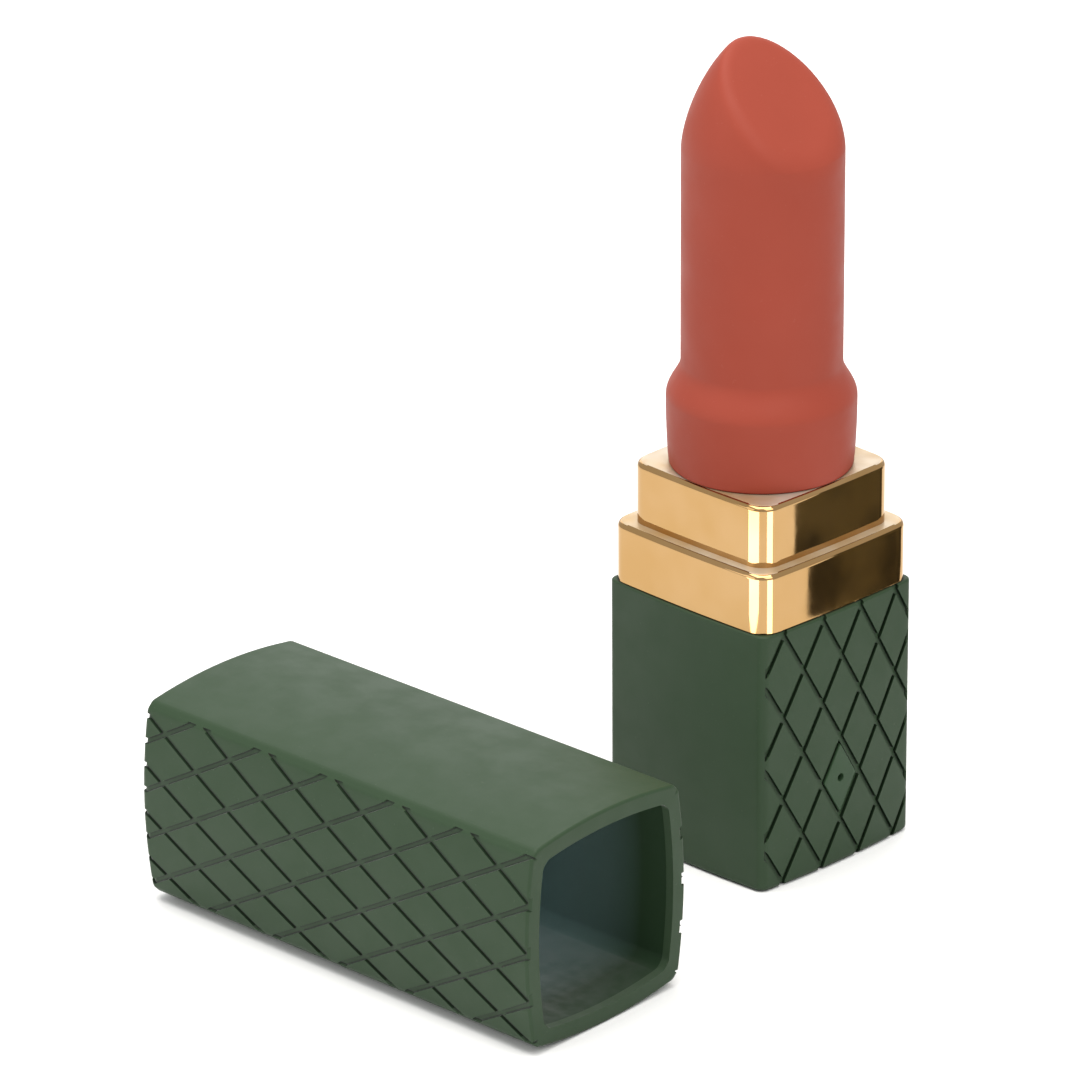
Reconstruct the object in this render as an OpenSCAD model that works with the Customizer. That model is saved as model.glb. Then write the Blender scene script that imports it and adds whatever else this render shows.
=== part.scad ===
// Rechargeable pull-cap case in the shape of a lipstick: a standing case with a two-step
// collar and a soft slanted tip, and its cap lying beside it. Millimetres, +Z up.
// The origin is the middle of the case's underside; the charging port faces +X.

/* [Case body] */
// Width of the case and of the cap, face to face
case_w = 30; // [27:0.5:36]
// How far each face bulges between its corners
face_bow = 0.9; // [0.4:0.1:1.4]
// Corner radius of the case and the cap
corner_r = 1.2; // [0.6:0.1:2.2]
// Height of the soft sleeve, from the table to the collar
body_h = 37; // [34:0.5:48]
// Wall of the soft sleeve
sleeve_t = 1.2; // [1:0.1:1.6]
// Wall of the two rigid housing halves
housing_t = 1.3; // [1:0.1:1.6]

/* [Base] */
// Opening in the sleeve's floor that the base cover fills
base_open_w = 22; // [20:0.5:23]
// Thickness of the sleeve's floor
floor_t = 1.4; // [1:0.1:2]
// Thickness of the gasket on the sleeve's floor
gasket_t = 0.6; // [0.4:0.1:1]
// Thickness of the base cover's flange
flange_t = 1.2; // [0.8:0.1:1.6]
// Diameter of the push button
button_d = 8.8; // [7:0.1:9.6]
// How far the button sits off the case's axis
button_off = 5; // [4.5:0.1:5.4]
// How far the light pipe sits to the side of the jack
pipe_off = 6; // [5:0.1:7]
// How far the button's face sits above the underside
button_recess = 0.4; // [0.2:0.1:0.8]
// Travel of the button
button_travel = 0.6; // [0.3:0.1:0.7]
// Diameter of the light pipe
pipe_d = 2.2; // [1.5:0.1:3]

/* [Diamond pattern] */
// Whole diamonds across a patterned face
diamonds_across = 4; // [3:1:5]
// Height of one diamond
diamond_h = 11.9; // [9:0.1:15]
// Width of a groove, square to its run
groove_w = 0.7; // [0.4:0.05:1]
// Depth of a groove
groove_d = 0.45; // [0.2:0.05:0.6]

/* [Charging port] */
// Height of the port's centre, which is also a diamond's centre
port_z = 12.6; // [12.4:0.1:15.2]
// Pinhole in the soft port seal
pinhole_d = 1.1; // [0.8:0.1:1.5]
// Bore of the charging jack, for a 2.5 mm pin
jack_bore_d = 2.6; // [2.5:0.05:3]
// Depth of that bore
jack_bore_l = 8.6; // [6:0.1:9]
// Outside diameter of the jack's nose
jack_nose_d = 5; // [4:0.1:5.6]
// Width of the jack's block
jack_w = 6.4; // [6:0.1:7.5]
// Height of the bore's axis above the board
jack_axis_h = 3.3; // [3:0.1:3.8]

/* [Collar] */
// How far the collar's lower step sits inside the sleeve's faces
step_inset = 0.45; // [0.2:0.05:1]
// Height of the collar's lower step
step_h = 8.4; // [7:0.1:10]
// Ledge of the upper step outside the tip's skirt
neck_ledge = 0.15; // [0.05:0.05:0.4]
// How far each face of the upper step bulges
neck_bow = 0.7; // [0.3:0.1:1]
// Corner radius of the upper step
neck_r = 1.3; // [0.8:0.1:2]
// Height of the upper step
neck_h = 8.6; // [7.5:0.1:11]
// Wall of the collar
collar_t = 1.4; // [1:0.1:1.5]

/* [Soft tip] */
// How far the skirt's foot stands out past the round bar
skirt_step = 1.55; // [0.8:0.05:1.6]
// How far the skirt swells above its foot
skirt_swell = 0.12; // [0:0.02:0.2]
// Height of the skirt below its shoulder
skirt_h = 8.6; // [6:0.1:11]
// Height of the shoulder
shoulder_h = 4.6; // [3:0.1:6]
// Wall of the soft tip round its core
tip_t = 2; // [1.4:0.1:2.1]
// Height from the collar to the low end of the slant
tip_low_h = 43.7; // [36:0.1:54]
// Height of the rounded top above the low end of the slant
dome_h = 15.6; // [12:0.1:17]
// Angle of the slant from level
slant_a = 44.5; // [38:0.5:48]

/* [Tip core and motor] */
// Wall of the core
core_t = 1.2; // [1:0.1:1.4]
// How far the core's closed top stays below the low end of the slant
core_drop = 1.6; // [1.2:0.1:4]
// Diameter of the motor
motor_d = 12; // [10:0.1:12.2]
// Wall of the rubber holder round the motor
holder_t = 1.4; // [1:0.1:1.5]
// Length of the motor's can
motor_l = 16; // [12:0.1:17]
// Diameter of the motor's shaft
shaft_d = 1.5; // [1:0.1:2]
// Radius of the eccentric weight
weight_r = 5.4; // [4:0.1:5.8]
// Length of the eccentric weight
weight_l = 6.5; // [4:0.1:7]

/* [Battery and board] */
// Diameter of the cell
cell_d = 14; // [12:0.1:14.4]
// Length of the cell
cell_l = 28; // [22:0.5:29]
// Gap between the board's edge and the housing
board_gap = 0.5; // [0.2:0.1:1]
// Thickness of the board
board_t = 1; // [0.8:0.1:1.6]
// Diameter of the insulated wires
wire_d = 0.9; // [0.6:0.1:1.2]

/* [Cap] */
// Wall of the cap's soft sleeve
cap_sleeve_t = 0.9; // [0.7:0.05:1.1]
// End wall of the cap's liner
cap_end_t = 1; // [0.8:0.1:1.5]
// Gap between the tip and the inside of the cap's end
cap_tip_gap = 0.5; // [0.3:0.1:2]
// Gap between the collar and the cap's liner
cap_gap = 0.3; // [0.2:0.05:0.35]
// Where the cap lies, along X
cap_x = -8.5; // [-20:0.1:10]
// How far in front of the case the cap's axis lies
cap_y = 56.7; // [45:0.1:90]
// How far the cap is turned on the table, in degrees
cap_turn = 2.9; // [-5:0.1:5]

/* [Hidden] */
$fn = 64;

green = [0.26, 0.32, 0.24];
gold = [0.87, 0.68, 0.44];
terracotta = [0.70, 0.32, 0.26];
dark = [0.15, 0.20, 0.17];

eps = 0.01;          // overlap of a cut past a face
fit = 0.1;           // gap between pieces that are pushed together
run_gap = 0.06;      // radial gap of a piece that slides or turns in a bore
rest_gap = 0.05;     // gap between a moving piece and its stop
weight_gap = 2;      // end play between the weight, the motor and the core's top
side_n = 10;         // steps along one bulged face
turn_n = 5;          // steps round one corner

// the round pieces, from the motor out to the collar that they stand on
core_in = motor_d / 2 + holder_t + fit;
core_r = core_in + core_t;
tip_r = core_r + tip_t;
skirt_r = tip_r + skirt_step;
neck_w = 2 * (skirt_r + neck_ledge);

// heights, from the table up
flange_z = floor_t + gasket_t;
cover_z = flange_z + flange_t;             // top of the base cover
step_z = body_h + step_h;                  // ledge that the cap seats on
collar_z = step_z + neck_h;                // top of the collar
core_flange_t = 1.5;
deck_z = collar_z - collar_t - fit - core_flange_t - fit;   // top of the housing's deck
deck_t = 1.3;
board_z = port_z - jack_axis_h;            // top of the board
pad_t = 0.8;
cell_z = deck_z - deck_t - pad_t - cell_l; // foot of the cell, under its foam pad
slant_z = collar_z + tip_low_h;            // low end of the slant
core_top = slant_z - core_drop;
weight_z = core_top - core_t - 2 * weight_gap - weight_l;
bearing_h = 1.2;
slant_dip = 0.25;    // the slant starts this far below the rounding
motor_top = weight_z - bearing_h - weight_gap / 2;
motor_z = motor_top - motor_l;

// widths, from the outside in
housing_w = case_w - 2 * (sleeve_t + fit);
housing_in = housing_w - 2 * housing_t;
step_w = case_w - 2 * step_inset;
step_in = step_w - 2 * collar_t;
neck_in = neck_w - 2 * collar_t;
board_w = housing_in - 2 * board_gap;
cover_w = base_open_w - 2 * fit;

// the tip's highest point is where the slant cuts the rounded top, on the axis plane
function dome_z(x) = slant_z + dome_h * sqrt(max(0, 1 - pow(x / tip_r, 2)));
function cut_z(x) = slant_z - slant_dip + (tip_r - x) * tan(slant_a);
tip_z = max([for (i = [-20:0.25:19]) let (x = i * tip_r / 20) min(dome_z(x), cut_z(x))]);

cap_in_l = tip_z - step_z + cap_tip_gap;   // depth of the cap
cap_l = cap_in_l + cap_end_t + cap_sleeve_t;
cap_in_w = neck_w + 2 * cap_gap;
diamond_w = case_w / diamonds_across;

// points of an arc about [cx, cy]
function arc(cx, cy, r, a0, a1, n) =
    [for (i = [0:n]) let (a = a0 + (a1 - a0) * i / n) [cx + r * cos(a), cy + r * sin(a)]];

function turned(p, a) = [p[0] * cos(a) - p[1] * sin(a), p[0] * sin(a) + p[1] * cos(a)];

// a square w wide whose faces bulge by bow, with corners rounded to r
function bowed(w, bow, r) =
    let (c = w / 2 - bow,
         big = (bow * bow + c * c) / (2 * bow),
         b = 2 * (big - w / 2),
         q = (sqrt(b * b - 8 * (pow(big - w / 2, 2) - pow(big - r, 2))) - b) / 4,
         t = atan2(q, q - w / 2 + big),
         face = arc(w / 2 - big, 0, big, -t, t, side_n),
         corner = arc(q, q, r, t, 90 - t, turn_n))
    [for (k = [0:3]) for (p = concat(face, [for (i = [1:turn_n - 1]) corner[i]]))
        turned(p, 90 * k)];

// a bulged square bar from z0 to z1
module bar(w, z0, z1, bow = face_bow, r = corner_r) {
    translate([0, 0, z0]) linear_extrude(z1 - z0) polygon(bowed(w, bow, r));
}

// a tube of that section
module bar_tube(w, w_in, z0, z1, bow = face_bow, r = corner_r) {
    difference() {
        bar(w, z0, z1, bow, r);
        bar(w_in, z0 - eps, z1 + eps, bow, max(0.5, r - (w - w_in) / 2));
    }
}

module rod(d, z0, z1) {
    translate([0, 0, z0]) cylinder(d = d, h = z1 - z0);
}

module rod_x(d, x0, x1) {
    translate([x0, 0, 0]) rotate([0, 90, 0]) cylinder(d = d, h = x1 - x0);
}

module box(w, d, z0, z1) {
    translate([-w / 2, -d / 2, z0]) cube([w, d, z1 - z0]);
}

// a diamond of the pattern, drawn in by `inset`, running along X from x0 to x1
module diamond_x(inset, x0, x1) {
    reach = diamond_w * diamond_h / (2 * norm([diamond_w, diamond_h]));
    k = (reach - inset) / reach;
    a = k * diamond_w / 2;
    b = k * diamond_h / 2;
    translate([x0, 0, 0]) rotate([90, 0, 90]) linear_extrude(x1 - x0)
        polygon([[a, 0], [0, b], [-a, 0], [0, -b]]);
}

// crossed grooves on both X faces of a bar z1 high; mid is the height of a diamond's centre
module grooves(z1, mid) {
    slope = atan2(diamond_h, diamond_w);
    rise = case_w / 2 * diamond_h / diamond_w;
    first = floor((-rise - mid) / diamond_h) - 1;
    last = ceil((z1 + rise - mid) / diamond_h);
    deep = face_bow + corner_r + groove_d;
    intersection() {
        bar_tube(case_w + 2, case_w - 2 * groove_d, -1, z1 + 1);
        for (side = [-1, 1], lean = [-1, 1], k = [first:last])
            translate([side * (case_w / 2 + 1 - deep / 2), 0, mid + (k + 0.5) * diamond_h])
                rotate([lean * slope, 0, 0])
                    cube([deep + 2, case_w * 2.2, groove_w], center = true);
    }
}

// an insulated wire through a list of points
module wire(points) {
    for (i = [0:len(points) - 2]) {
        d = points[i + 1] - points[i];
        translate(points[i]) rotate([0, acos(d[2] / norm(d)), atan2(d[1], d[0])])
            cylinder(d = wire_d, h = norm(d));
        if (i > 0) translate(points[i]) sphere(d = wire_d + 0.06);
    }
}

// ---- case: soft outside ----

module case_sleeve() {
    color(green) difference() {
        bar(case_w, 0, body_h);
        bar(case_w - 2 * sleeve_t, floor_t, body_h + 1);
        bar(base_open_w, -1, floor_t + 1);
        grooves(body_h, port_z);
        translate([0, 0, port_z])
            diamond_x(groove_w / 2 - fit, case_w / 2 - sleeve_t - 1, case_w / 2 + 1);
    }
}

module port_seal() {
    color(green * 1.15) difference() {
        intersection() {
            bar_tube(case_w, housing_w, 0, body_h);
            translate([0, 0, port_z]) diamond_x(groove_w / 2, case_w / 4, case_w / 2 + 1);
        }
        translate([0, 0, port_z]) rod_x(pinhole_d, case_w / 4, case_w / 2 + 1);
    }
}

// ---- case: base ----

module base_cover() {
    color(dark) difference() {
        union() {
            bar(cover_w, 0, flange_z + eps);
            bar(housing_w - fit, flange_z, cover_z);
        }
        translate([-button_off, 0, 0]) rod(button_d + 2 * run_gap, -1, cover_z + 1);
        translate([button_off, pipe_off, 0]) rod(pipe_d + 2 * fit, -1, cover_z + 1);
    }
}

module base_gasket() {
    color("black") bar_tube(housing_w - fit, base_open_w, floor_t, flange_z);
}

key_top = cover_z + rest_gap + 0.8;      // top of the button's flange

module button_key() {
    color(dark * 1.5) translate([-button_off, 0, 0]) difference() {
        union() {
            rod(button_d, button_recess, cover_z + rest_gap + eps);
            rod(button_d + 1.6, cover_z + rest_gap, key_top);
        }
        // a shallow dish for the fingertip
        rod(button_d - 2.4, button_recess - 1, button_recess + 0.3);
    }
}

switch_w = 6;
switch_z = board_z - board_t - 3.1;      // foot of the switch, which hangs from the board
plunger_d = 3.4;

module tact_switch() {
    color("dimgray") translate([-button_off, 0, 0]) difference() {
        box(switch_w, switch_w, switch_z, board_z - board_t);
        rod(plunger_d + 2 * run_gap, switch_z - 1, switch_z + 2);
    }
}

module switch_plunger() {
    color("black") translate([-button_off, 0, 0])
        rod(plunger_d, key_top, switch_z + 2 - button_travel - 2 * rest_gap);
}

module light_pipe() {
    color("white") translate([button_off, pipe_off, 0])
        rod(pipe_d, 0, board_z - board_t - 1.2 - fit);
}

module status_led() {
    color("lightyellow") translate([button_off, pipe_off, 0])
        box(1.6, 0.8, board_z - board_t - 1.2, board_z - board_t);
}

// ---- case: board and charging jack ----

jack_face = housing_in / 2;              // the jack's block stands against the housing
nose_x = housing_w / 2 - rest_gap;
jack_l = jack_bore_l - (nose_x - jack_face) + 2;
jack_feet = [[-2, -2.2], [-2, 2.2], [1.2 - jack_l, 0]];   // from the jack's front edge

module at_jack_feet() {
    for (p = jack_feet) translate([jack_face - fit + p[0], p[1], 0]) children();
}

module circuit_board() {
    color("darkgreen") difference() {
        bar(board_w, board_z - board_t, board_z, 0.3, 1.5);
        for (y = [-1, 1]) translate([-9.6, y * 9.6, 0]) rod(2, 0, board_z + 1);
        at_jack_feet() box(0.9 + fit, 0.5 + fit, 0, board_z + 1);
    }
}

module charging_jack() {
    color("dimgray") difference() {
        union() {
            translate([jack_face - jack_l - fit, -jack_w / 2, board_z])
                cube([jack_l, jack_w, jack_axis_h + jack_w / 2 - 0.1]);
            translate([0, 0, port_z]) rod_x(jack_nose_d, jack_face - 1, nose_x);
        }
        translate([0, 0, port_z]) rod_x(jack_bore_d, nose_x - jack_bore_l, nose_x + 1);
    }
}

module jack_pins() {
    color("silver") at_jack_feet() box(0.9, 0.5, board_z - board_t - 0.8, board_z);
}

module controller_chip() {
    color("black") translate([-7.6, 0, 0]) {
        box(3.9, 4.9, board_z + 0.1, board_z + 1.5);
        for (side = [-1, 1], i = [-1.5:1.5])
            translate([side * 2.45, i * 1.27, 0]) box(1, 0.4, board_z, board_z + 0.4);
    }
}

module board_parts() {
    color("tan") for (p = [[-3.4, 7.4], [-0.6, 7.4], [2.2, 7.4], [5, 7.4], [-3.4, -7.4],
                           [-0.6, -7.4], [2.2, -7.4]])
        translate([p[0], p[1], 0]) box(1, 2, board_z, board_z + 0.8);
}

// ---- case: rigid housing ----

cup_h = 5;
boss_d = 4.4;
boss_y = cell_d / 2 + boss_d / 2 + 0.7;
boss_z = cell_z + cup_h + boss_d / 2 + 1;
screw_d = 1.8;
screw_head_d = 3.6;
screw_l = 16;
screw_x = -housing_w / 2 + face_bow + 1.6;   // under the heads, sunk clear of the bulged face
// the motor's leads pass half way between the cell and the neck's wall
wire_x = (cell_d / 2 + neck_in / 2 - fit - housing_t) / 2;
lead_x = core_in - 1.4;                  // where the motor's leads run inside the core
foot_x = cell_d / 2 + 2.9;               // and where they rise from the board, outside the cup

module housing_shell() {
    difference() {
        union() {
            bar(housing_w, cover_z, body_h);
            bar(step_in - 2 * fit, body_h - eps, step_z - collar_t - fit, face_bow, 1);
            bar(neck_in - 2 * fit, step_z - collar_t - fit - eps, deck_z, neck_bow, 0.8);
        }
        difference() {
            union() {
                bar(housing_in, cover_z - 1, body_h - 1, face_bow, 0.8);
                bar(step_in - 2 * (fit + housing_t), body_h - 1 - eps,
                    step_z - collar_t - fit - housing_t, face_bow, 0.8);
                bar(neck_in - 2 * (fit + housing_t), body_h, deck_z - deck_t, neck_bow, 0.6);
            }
            for (y = [-1, 1]) translate([0, y * boss_y, boss_z])
                rod_x(boss_d, -housing_w / 2, housing_w / 2);
        }
        // way through the deck for the motor's leads
        translate([-(wire_x + lead_x) / 2, 0, 0])
            box(abs(wire_x - lead_x) + wire_d + 0.8, 5, deck_z - deck_t - 1, deck_z + 1);
        for (y = [-1, 1]) translate([0, y * boss_y, boss_z]) {
            rod_x(screw_d + 2 * fit, -housing_w, screw_x + screw_l + 0.5);
            rod_x(screw_head_d + 2 * fit, -housing_w, screw_x);
        }
        translate([0, 0, port_z]) rod_x(jack_nose_d + 2 * fit, 0, housing_w);
    }
}

module housing_front() {
    color("slategray") intersection() {
        housing_shell();
        translate([fit / 2, -case_w, 0]) cube([case_w, case_w * 2, collar_z]);
    }
}

module housing_rear() {
    color("slategray") intersection() {
        housing_shell();
        translate([-case_w, -case_w, 0]) cube([case_w, case_w * 2, collar_z]);
    }
}

module housing_screws() {
    color("silver") for (y = [-1, 1]) translate([0, y * boss_y, boss_z]) {
        rod_x(screw_head_d, screw_x - 1.2, screw_x);
        rod_x(screw_d, screw_x - eps, screw_x + screw_l);
    }
}

// ---- case: battery and wiring ----

module battery_cell() {
    color("steelblue") {
        rod(cell_d, cell_z, cell_z + cell_l - 0.8);
        rod(cell_d / 2.5, cell_z + cell_l - 0.9, cell_z + cell_l);
    }
}

module battery_cup() {
    color("slategray") difference() {
        union() {
            rod(cell_d + 2.2, cell_z - 1, cell_z + cup_h);
            for (a = [0, 90]) rotate([0, 0, a])
                box(housing_in - 2 * rest_gap, 1.4, cell_z - 1, cell_z + 3);
        }
        rod(cell_d + 2 * fit, cell_z, cell_z + 6);
        translate([-4, 0, 0]) box(3.4, 5, cell_z - 2, cell_z + 1);
    }
}

module battery_pad() {
    color("gray") rod(cell_d - 3, cell_z + cell_l, cell_z + cell_l + pad_t);
}

module battery_leads() {
    color("crimson") for (y = [-1, 1])
        wire([[-4, y * 1.2, board_z], [-4, y * 1.2, cell_z]]);
}

module motor_leads() {
    color("royalblue") for (y = [-1, 1])
        wire([[-foot_x, y * 4.6, board_z], [-foot_x, y * 4.6, cell_z - 3],
              [-wire_x, y * 1.4, cell_z + cup_h + 4], [-wire_x, y * 1.4, deck_z - deck_t / 2],
              [-lead_x, y * 1.4, deck_z - deck_t / 2], [-lead_x, y * 1.4, motor_z - 5],
              [-motor_d / 2 + 2.4, y * 1.4, motor_z - 1.9]]);
}

// ---- collar ----

module collar() {
    color(gold) difference() {
        union() {
            bar(step_w, body_h, step_z);
            bar(neck_w, step_z - eps, collar_z, neck_bow, neck_r);
        }
        bar(step_in, body_h - 1, step_z - collar_t, face_bow, 0.8);
        bar(neck_in, body_h, collar_z - collar_t, neck_bow, 0.8);
        rod(2 * (core_r + fit), collar_z - 5, collar_z + 1);
    }
}

// ---- soft tip and its core ----

ring_d = 1.4;                            // thickness of the sealing ring
ring_r = core_r + 0.15 + ring_d / 2;

module seal_ring() {
    color("black") rotate_extrude() translate([ring_r, collar_z + ring_d / 2 + fit / 2])
        circle(d = ring_d);
}

// half outline of the tip, from the collar up round the top to the axis
function tip_outline() = concat(
    [[0, 0], [skirt_r, 0]],
    [for (i = [1:6]) [skirt_r + skirt_swell * sin(90 * i / 6), skirt_h * i / 6]],
    [for (i = [1:12]) let (s = i / 12)
        [tip_r + (skirt_r + skirt_swell - tip_r) * (1 + cos(180 * s)) / 2,
         skirt_h + shoulder_h * s]],
    [for (i = [0:16]) let (a = 90 * i / 16)
        [tip_r * cos(a), tip_low_h + dome_h * sin(a)]]);

module tip_sleeve() {
    color(terracotta) difference() {
        translate([0, 0, collar_z]) rotate([0, 0, 90]) rotate_extrude() polygon(tip_outline());
        rod(2 * (core_r + rest_gap), collar_z - 1, core_top + rest_gap);
        rod(2 * (ring_r + ring_d / 2 + fit), collar_z - 1, collar_z + ring_d + fit);
        // the slant falls towards the port's side
        translate([tip_r, 0, slant_z - slant_dip]) rotate([0, slant_a, 0])
            translate([-3 * tip_r, -2 * tip_r, 0]) cube([6 * tip_r, 4 * tip_r, 4 * tip_r]);
    }
}

module tip_core() {
    color("slategray") difference() {
        union() {
            rod(neck_in - 1.2, deck_z + fit, deck_z + fit + core_flange_t);
            rod(2 * core_r, deck_z + fit, core_top);
        }
        rod(2 * core_in, deck_z - 1, core_top - core_t);
    }
}

module motor_holder() {
    color("dimgray") difference() {
        rod(2 * (core_in - rest_gap), motor_z, motor_top - 1);
        rod(motor_d + fit, motor_z - 1, motor_top);
    }
}

module motor_can() {
    color("silver") difference() {
        union() {
            rod(motor_d, motor_z, motor_top);
            rod(motor_d / 3, motor_top - eps, motor_top + bearing_h);
        }
        rod(shaft_d + 2 * run_gap, motor_z + 2, motor_top + 2);
    }
}

module motor_end_cap() {
    color("ivory") rod(motor_d - 0.6, motor_z - 1.6, motor_z);
}

module motor_shaft() {
    color("gray") rod(shaft_d, motor_z + 2 + rest_gap, weight_z + weight_l + 0.6);
}

// a half-round weight with a whole hub round the shaft
module eccentric_weight() {
    color("darkgoldenrod") difference() {
        union() {
            intersection() {
                rod(2 * weight_r, weight_z, weight_z + weight_l);
                translate([0, -weight_r, weight_z]) cube([weight_r, 2 * weight_r, weight_l]);
            }
            rod(shaft_d + 2.2, weight_z, weight_z + weight_l);
        }
        rod(shaft_d, weight_z - 1, weight_z + weight_l + 1);
    }
}

// ---- cap, drawn standing on its mouth and then laid on its plain side ----

module lay_cap() {
    translate([cap_x, -cap_y, case_w / 2]) rotate([0, -90, cap_turn])
        translate([0, 0, -cap_l / 2]) children();
}

module cap_sleeve() {
    color(green) lay_cap() difference() {
        bar(case_w, 0, cap_l);
        bar(case_w - 2 * cap_sleeve_t, -1, cap_l - cap_sleeve_t);
        rotate([0, 0, 90]) grooves(cap_l, diamond_h / 2);
    }
}

module cap_liner() {
    liner_w = case_w - 2 * cap_sleeve_t - fit;
    nub = cap_gap - rest_gap;            // grip nubs stand this far into the cap
    color(dark) lay_cap() {
        difference() {
            bar(liner_w, 0, cap_l - cap_sleeve_t - rest_gap);
            bar(cap_in_w, -1, cap_in_l, neck_bow, neck_r + cap_gap);
        }
        for (a = [0:90:270]) rotate([0, 0, a])
            translate([cap_in_w / 2 - nub, -2.5, neck_h / 2 - 0.5]) cube([nub + 0.5, 5, 1]);
    }
}

case_sleeve();
base_cover();
base_gasket();
housing_front();
housing_rear();
housing_screws();
port_seal();
charging_jack();
jack_pins();
circuit_board();
controller_chip();
board_parts();
tact_switch();
status_led();
light_pipe();
battery_cell();
battery_cup();
battery_pad();
battery_leads();
motor_leads();
collar();
seal_ring();
tip_core();
tip_sleeve();
motor_holder();
motor_can();
motor_end_cap();
motor_shaft();
eccentric_weight();
button_key();
switch_plunger();
cap_sleeve();
cap_liner();
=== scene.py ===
import math

import bmesh
import bpy
from mathutils import Matrix, Vector


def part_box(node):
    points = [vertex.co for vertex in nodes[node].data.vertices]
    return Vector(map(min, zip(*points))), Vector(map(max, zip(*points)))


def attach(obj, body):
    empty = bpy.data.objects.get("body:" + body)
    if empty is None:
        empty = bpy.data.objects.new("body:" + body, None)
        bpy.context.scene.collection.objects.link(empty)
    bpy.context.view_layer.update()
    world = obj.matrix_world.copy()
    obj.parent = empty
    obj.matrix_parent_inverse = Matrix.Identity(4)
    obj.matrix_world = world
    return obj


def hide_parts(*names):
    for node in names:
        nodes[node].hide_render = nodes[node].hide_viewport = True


mm = 0.001

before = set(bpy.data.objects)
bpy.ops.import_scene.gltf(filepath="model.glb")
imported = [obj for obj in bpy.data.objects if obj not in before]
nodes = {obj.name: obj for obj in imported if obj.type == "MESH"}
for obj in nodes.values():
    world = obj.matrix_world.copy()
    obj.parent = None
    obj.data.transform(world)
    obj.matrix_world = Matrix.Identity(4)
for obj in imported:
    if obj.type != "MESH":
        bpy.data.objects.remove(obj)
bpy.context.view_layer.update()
print("frame loaded:", len(nodes), "nodes")


# small helpers

def deselectAll():
    if bpy.context.mode != "OBJECT":
        bpy.ops.object.mode_set(mode="OBJECT")
    bpy.ops.object.select_all(action="DESELECT")


def startEdit(piece, selectMode="FACE"):
    deselectAll()
    piece.select_set(True)
    bpy.context.view_layer.objects.active = piece
    bpy.ops.object.mode_set(mode="EDIT")
    bpy.ops.mesh.select_mode(type=selectMode)


def endEdit():
    bpy.ops.object.mode_set(mode="OBJECT")


def pickFaces(piece, wanted):
    # selects the faces whose middle and normal pass the test
    bpy.ops.mesh.select_mode(type="FACE")
    bpy.ops.mesh.select_all(action="DESELECT")
    bm = bmesh.from_edit_mesh(piece.data)
    for face in bm.faces:
        face.select_set(bool(wanted(face.calc_center_median(), face.normal)))
    bmesh.update_edit_mesh(piece.data)


def pickEdges(piece, wanted):
    # selects the edges whose two ends pass the test
    bpy.ops.mesh.select_mode(type="EDGE")
    bpy.ops.mesh.select_all(action="DESELECT")
    bm = bmesh.from_edit_mesh(piece.data)
    for edge in bm.edges:
        a, b = edge.verts[0].co, edge.verts[1].co
        edge.select_set(bool(wanted(a, b)))
    bmesh.update_edit_mesh(piece.data)


def near(a, b, slack=0.02 * mm):
    return abs(a - b) < slack


def level(height):
    # a test for edges that lie flat at a height
    return lambda a, b: near(a.z, height) and near(b.z, height)


def addBar(name, half, corner, bottom, top, steps=6):
    # an upright square bar with rounded corners, as a closed box
    deselectAll()
    bpy.ops.mesh.primitive_cube_add(size=1, location=(0, 0, (bottom + top) / 2),
                                    scale=(2 * half, 2 * half, top - bottom))
    piece = bpy.context.active_object
    piece.name = name
    bpy.ops.object.transform_apply(location=True, rotation=True, scale=True)
    startEdit(piece, "EDGE")
    pickEdges(piece, lambda a, b: near(a.x, b.x) and near(a.y, b.y))
    bpy.ops.mesh.bevel(offset=corner, segments=steps, affect="EDGES", clamp_overlap=False)
    endEdit()
    return piece


def stretch(factor, height):
    # scales the selection flat about the bar's own axis
    bpy.ops.transform.resize(value=(factor, factor, 1), center_override=(0, 0, height))


def growLoop(factor, rise, height):
    # extrudes the selected loop by a rise, and scales it about the axis
    bpy.ops.mesh.extrude_region_move(TRANSFORM_OT_translate={"value": (0, 0, rise)})
    if factor != 1:
        stretch(factor, height + rise)


def bulge(piece, amount):
    # bows the four faces of a square bar outwards, and leaves its corners where they are
    for vertex in piece.data.vertices:
        x, y = vertex.co.x, vertex.co.y
        if abs(x) >= abs(y) and abs(x) > 0:
            vertex.co.x = x * (1 + amount * (1 - (y / x) ** 2))
        elif abs(y) > 0:
            vertex.co.y = y * (1 + amount * (1 - (x / y) ** 2))
    piece.data.update()


def sliceFaces(piece, faces, point, normal):
    # cuts only the faces that pass the test
    pickFaces(piece, faces)
    bpy.ops.mesh.bisect(plane_co=point, plane_no=normal, use_fill=False)


def addModifier(piece, kind, **settings):
    deselectAll()
    piece.select_set(True)
    bpy.context.view_layer.objects.active = piece
    bpy.ops.object.modifier_add(type=kind)
    modifier = piece.modifiers[-1]
    for key, value in settings.items():
        setattr(modifier, key, value)
    bpy.ops.object.modifier_apply(modifier=modifier.name)


def smooth(piece, angle=40):
    deselectAll()
    piece.select_set(True)
    bpy.context.view_layer.objects.active = piece
    bpy.ops.object.shade_smooth_by_angle(angle=math.radians(angle))
    addModifier(piece, "WEIGHTED_NORMAL", keep_sharp=True, weight=80)


def closeUp(piece):
    # merges doubles, closes slits and turns every face outwards
    startEdit(piece)
    bpy.ops.mesh.select_all(action="SELECT")
    bpy.ops.mesh.remove_doubles(threshold=0.0005 * mm)
    bpy.ops.mesh.delete_loose(use_verts=True, use_edges=True, use_faces=False)
    bpy.ops.mesh.select_all(action="SELECT")
    bpy.ops.mesh.fill_holes(sides=12)
    bpy.ops.mesh.select_all(action="SELECT")
    bpy.ops.mesh.normals_make_consistent(inside=False)
    endEdit()


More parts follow.
